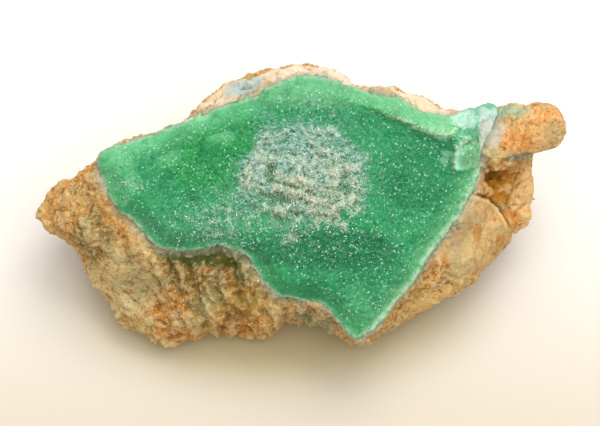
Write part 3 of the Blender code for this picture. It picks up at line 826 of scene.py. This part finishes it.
colour = blended(tree, times(tree, on_lace, 0.7), colour, DRUSE_CREAM)
# Painted shade: darker olive in the hollows among the frost.
pit_shade = read(tree, "pit_shade")
felt_hollow_shade = times(tree, stretched(tree, pit_shade, 0.6, 0.95), frosted)
colour = blended(tree, times(tree, felt_hollow_shade, 0.8), colour, paint(70, 96, 50))
gap_share = times(tree, read(tree, "gap"), stretched(tree, clouds, 0.35, 0.6, 0.9, 0.4))
colour = blended(tree, times(tree, gap_share, 0.7), colour, paint(70, 96, 44))
shader = tree.nodes["Principled BSDF"]
tree.links.new(colour, shader.inputs["Base Color"])
tree.links.new(faces.outputs["Normal"], shader.inputs["Normal"])
tree.links.new(stretched(tree, faces.outputs["Chance"], 0.6, 0.9, 0.5, 0.15), shader.inputs["Roughness"])
shader.inputs["IOR"].default_value = 1.57
shader.inputs["Specular IOR Level"].default_value = 0.22
shader.inputs["Subsurface Weight"].default_value = 0.4
shader.inputs["Subsurface Radius"].default_value = (0.3, 1.0, 0.5)
shader.inputs["Subsurface Scale"].default_value = 0.4 * MM
crust.data.materials.clear()
crust.data.materials.append(crust_finish)
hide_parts("variscite_crust")
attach(crust, "root")


# The druse: hair-like pointed crystals, white, cream and pale blue green, felted in threads over the middle of
# the green face and thinning out to its lower left. They are a few hundredths of a millimetre thick.
DRUSE_COUNT = 45000
LARGE_SHARE = 0.11
SPIKE = np.array([(1.0, 0.0, 0.0), (-0.5, 0.866, 0.0), (-0.5, -0.866, 0.0), (0.0, 0.0, 1.0)])
SPIKE_FACES = np.array([(0, 1, 3), (1, 2, 3), (2, 0, 3), (2, 1, 0)])


def scattered(piece, count, dice):
    """Random places all over a piece's skin, with the way that the skin faces at each."""
    piece.data.calc_loop_triangles()
    corners = np.empty(len(piece.data.loop_triangles) * 3, np.int32)
    piece.data.loop_triangles.foreach_get("vertices", corners)
    corners = places_of(piece)[corners.reshape(-1, 3)]
    crossed = np.cross(corners[:, 1] - corners[:, 0], corners[:, 2] - corners[:, 0])
    areas = np.linalg.norm(crossed, axis=1)
    picked = dice.choice(len(corners), size=count, p=areas / areas.sum())
    first = np.sqrt(dice.random(count))[:, None]
    second = dice.random(count)[:, None]
    a, b, c = (corners[picked, i] for i in range(3))
    places = a * (1 - first) + b * first * (1 - second) + c * first * second
    return places, crossed[picked] / areas[picked][:, None]


def turned_frames(normals, lean, dice):
    """For each crystal, three axes: the long one leans at random from the way that the skin faces."""
    long_way = normals + dice.normal(0.0, lean, normals.shape)
    long_way /= np.linalg.norm(long_way, axis=1)[:, None]
    across = np.cross(long_way, dice.normal(0.0, 1.0, normals.shape))
    across /= np.linalg.norm(across, axis=1)[:, None]
    return across, np.cross(long_way, across), long_way


def grown(name, form, form_faces, places, axes, sizes, tints):
    """One mesh of many small crystals or grains, each a turned and sized copy of the form."""
    across, beside, long_way = axes
    body = (
        form[None, :, 0, None] * (across * sizes[:, 0:1])[:, None, :]
        + form[None, :, 1, None] * (beside * sizes[:, 1:2])[:, None, :]
        + form[None, :, 2, None] * (long_way * sizes[:, 2:3])[:, None, :]
    )
    vertices = (places[:, None, :] + body).reshape(-1, 3)
    starts = np.arange(len(places)) * len(form)
    faces = (form_faces[None, :, :] + starts[:, None, None]).reshape(-1, form_faces.shape[1])
    mesh = bpy.data.meshes.new(name)
    mesh.from_pydata(vertices.tolist(), [], faces.tolist())
    piece = bpy.data.objects.new(name, mesh)
    bpy.context.collection.objects.link(piece)
    keep_values(piece, "tint", np.repeat(tints, len(form)))
    return piece


dice = np.random.default_rng(11)
places, normals = scattered(crust, 900000, dice)
upward = normals @ np.array(outward)
places, normals = places[upward > 0.3], normals[upward > 0.3]
plan = in_plan(places)
near_druse = (np.abs(plan[:, 0] + 1.5) < 6.0) & (np.abs(plan[:, 1] - 0.9) < 3.2)
places, normals, plan = places[near_druse], normals[near_druse], plan[near_druse]
pale = druse_share(plan)
lace = lace_at(plan)
chance = pale**1.7 * (0.15 + 0.85 * lace**1.3) * (1.0 - 0.4 * gaps_at(plan)) * 0.8
kept = np.nonzero(dice.random(len(plan)) < chance)[0]
kept = kept[:DRUSE_COUNT]
places, normals, plan, lace = places[kept], normals[kept], plan[kept], lace[kept]
large = dice.random(len(kept)) < LARGE_SHARE
thick = np.where(large, dice.uniform(0.016, 0.026, len(kept)), dice.uniform(0.008, 0.014, len(kept))) * MM
long = np.where(large, dice.uniform(0.11, 0.2, len(kept)), dice.uniform(0.05, 0.14, len(kept))) * MM
sizes = np.column_stack((thick, thick, long))
places = places - normals * (0.01 * MM)
warmth = 0.38 - (plan[:, 1] - 1.3) * 0.1 + 0.2 * cloud_at(plan, 0.5, 91.0) + 0.14 * threads_at(plan)
warmth -= 0.3 * eased((0.8 - pale[kept]) / 0.4)
tints = warmth + dice.normal(0.0, 0.15, len(kept))
shades = 0.05 + 0.75 * lace + 0.25 * cloud_at(plan, 0.12, 93.0, 2) + dice.normal(0.0, 0.12, len(kept))
shades[large] += 0.45
axes = turned_frames(normals, 0.9, dice)
druse = grown("pale_druse", SPIKE, SPIKE_FACES, places, axes, sizes, np.clip(tints, 0.0, 1.0))
keep_values(druse, "shade", np.repeat(np.clip(shades, 0.0, 1.0), len(SPIKE)))

druse_finish = bpy.data.materials.new("pale_druse")
druse_finish.use_nodes = True
tree = druse_finish.node_tree
ramp = add_node(tree, "ShaderNodeValToRGB", {"Fac": read(tree, "tint")})
ramp.color_ramp.elements[0].color = paint(108, 188, 168)
ramp.color_ramp.elements[1].color = paint(250, 240, 226)
ramp.color_ramp.elements.new(0.22).color = paint(180, 224, 220)
ramp.color_ramp.elements.new(0.38).color = paint(234, 246, 242)
ramp.color_ramp.elements.new(0.55).color = paint(216, 222, 188)
ramp.color_ramp.elements.new(0.75).color = paint(246, 234, 214)
worn = noise_of(tree, plan_place(tree), 5.0, 4.0, 0.7)
colour = blended(tree, stretched(tree, worn, 0.54, 0.7, 0.0, 0.5), ramp.outputs[0], paint(150, 150, 92))
colour = blended(tree, stretched(tree, read(tree, "shade"), 0.65, 0.1, 0.0, 0.72), colour, paint(84, 138, 102))
shader = tree.nodes["Principled BSDF"]
tree.links.new(colour, shader.inputs["Base Color"])
tree.links.new(stretched(tree, worn, 0.3, 0.7, 0.25, 0.5), shader.inputs["Roughness"])
shader.inputs["IOR"].default_value = 1.57
druse.data.materials.append(druse_finish)
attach(druse, "root")


# The sparkle: single crystals of variscite that stand out of the sugary green all over the crust and catch
# the light. They are clearer and glassier than the mass that they grew from, and the largest few are painted
# near white as painted glints.
SPARKLE_COUNT = 4600
PAINTED_GLINT_SHARE = 0.06
OCTAHEDRON = np.array([(1, 0, 0), (0, 1, 0), (-1, 0, 0), (0, -1, 0), (0, 0, 1.0), (0, 0, -1.0)], float)
OCTAHEDRON_FACES = np.array(
    [(0, 1, 4), (1, 2, 4), (2, 3, 4), (3, 0, 4), (1, 0, 5), (2, 1, 5), (3, 2, 5), (0, 3, 5)], int
)
dice = np.random.default_rng(23)
places, normals = scattered(crust, 40000, dice)
plan = in_plan(places)
upward = normals @ np.array(outward)
clumps = 0.25 + 0.75 * eased(0.5 + 0.9 * cloud_at(plan, 0.9, 83.0))
kept = np.nonzero((upward > 0.3) & (plan[:, 2] > 0.5) & (dice.random(len(plan)) < clumps))[0][:SPARKLE_COUNT]
places, normals = places[kept], normals[kept]
# Painted glints: a few larger crystals get a near white colour.
painted_glint = dice.random(len(kept)) < PAINTED_GLINT_SHARE
size = np.where(painted_glint, dice.uniform(0.016, 0.034, len(kept)), dice.uniform(0.007, 0.014, len(kept)))
sizes = size[:, None] * MM * dice.uniform(0.7, 1.3, (len(kept), 3))
places = places + normals * (0.004 * MM)
tints = np.where(painted_glint, 1.0, 0.92 * dice.random(len(kept)))
sparkle = grown("green_sparkle", OCTAHEDRON, OCTAHEDRON_FACES, places, turned_frames(normals, 0.7, dice), sizes, tints)

sparkle_finish = bpy.data.materials.new("glassy_variscite")
sparkle_finish.use_nodes = True
tree = sparkle_finish.node_tree
tint = read(tree, "tint")
colour = blended(tree, stretched(tree, tint, 0.0, 0.8), paint(36, 142, 84), paint(92, 190, 136))
# Painted glints: the near white colour of the largest crystals.
colour = blended(tree, stretched(tree, tint, 0.78, 0.9), colour, paint(236, 252, 246))
shader = tree.nodes["Principled BSDF"]
tree.links.new(colour, shader.inputs["Base Color"])
tree.links.new(stretched(tree, tint, 0.0, 1.0, 0.2, 0.05), shader.inputs["Roughness"])
shader.inputs["IOR"].default_value = 1.6
sparkle.data.materials.append(sparkle_finish)
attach(sparkle, "root")


# The grit: angular grains of quartz and iron-stained chert that stand out of the crumbly matrix all round,
# tan and orange with some white ones.
GRIT_COUNT = 8500
bpy.ops.object.select_all(action="DESELECT")
bpy.ops.mesh.primitive_ico_sphere_add(subdivisions=1, radius=1.0)
seed_grain = bpy.context.active_object
grain_form = places_of(seed_grain)
grain_faces = np.array([tuple(p.vertices) for p in seed_grain.data.polygons], int)
bpy.data.objects.remove(seed_grain)
dice = np.random.default_rng(37)
places, normals = scattered(rock, 40000, dice)
plan = in_plan(places)
clear = np.array([crust_tree.find_nearest(Vector(p))[3] for p in places]) / MM
reach = np.hypot(plan[:, 0] - PEBBLE_MIDDLE[0], plan[:, 1] - PEBBLE_MIDDLE[1])
upward = normals @ np.array(outward)
on_pebble = (reach < PEBBLE_RADIUS + 0.1) & (upward > -0.1)
chance = (clear > 0.15) * (places[:, 2] > 0.3 * MM) * np.where(on_pebble, 0.06, 1.0)
kept = np.nonzero(dice.random(len(plan)) < chance)[0][:GRIT_COUNT]
places, normals = places[kept], normals[kept]
size = (0.014 + 0.03 * dice.random(len(kept)) ** 2)[:, None] * MM
sizes = size * dice.uniform(0.6, 1.4, (len(kept), 3))
tints = dice.random(len(kept))
grit = grown("rock_grit", grain_form, grain_faces, places, turned_frames(normals, 0.9, dice), sizes, tints)

grit_finish = bpy.data.materials.new("chert_grit")
grit_finish.use_nodes = True
tree = grit_finish.node_tree
place = plan_place(tree)
tint = read(tree, "tint")
ramp = add_node(tree, "ShaderNodeValToRGB", {"Fac": tint})
ramp.color_ramp.elements[0].color = paint(160, 98, 38)
ramp.color_ramp.elements[1].color = paint(238, 226, 198)
ramp.color_ramp.elements.new(0.35).color = paint(198, 146, 76)
ramp.color_ramp.elements.new(0.85).color = paint(196, 172, 116)
# The grains take the rock's blots and films at a lower amount, with their painted shade and painted highlights.
colour = stained(tree, place, ramp.outputs[0], [(m, h, r, c, 0.6 * a) for m, h, r, c, a in ROCK_BLOTS_AND_SHADE + ROCK_FILMS_SHADE_AND_HIGHLIGHTS])
shader = tree.nodes["Principled BSDF"]
tree.links.new(colour, shader.inputs["Base Color"])
tree.links.new(stretched(tree, tint, 0.0, 1.0, 0.9, 0.55), shader.inputs["Roughness"])
grit.data.materials.append(grit_finish)
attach(grit, "root")
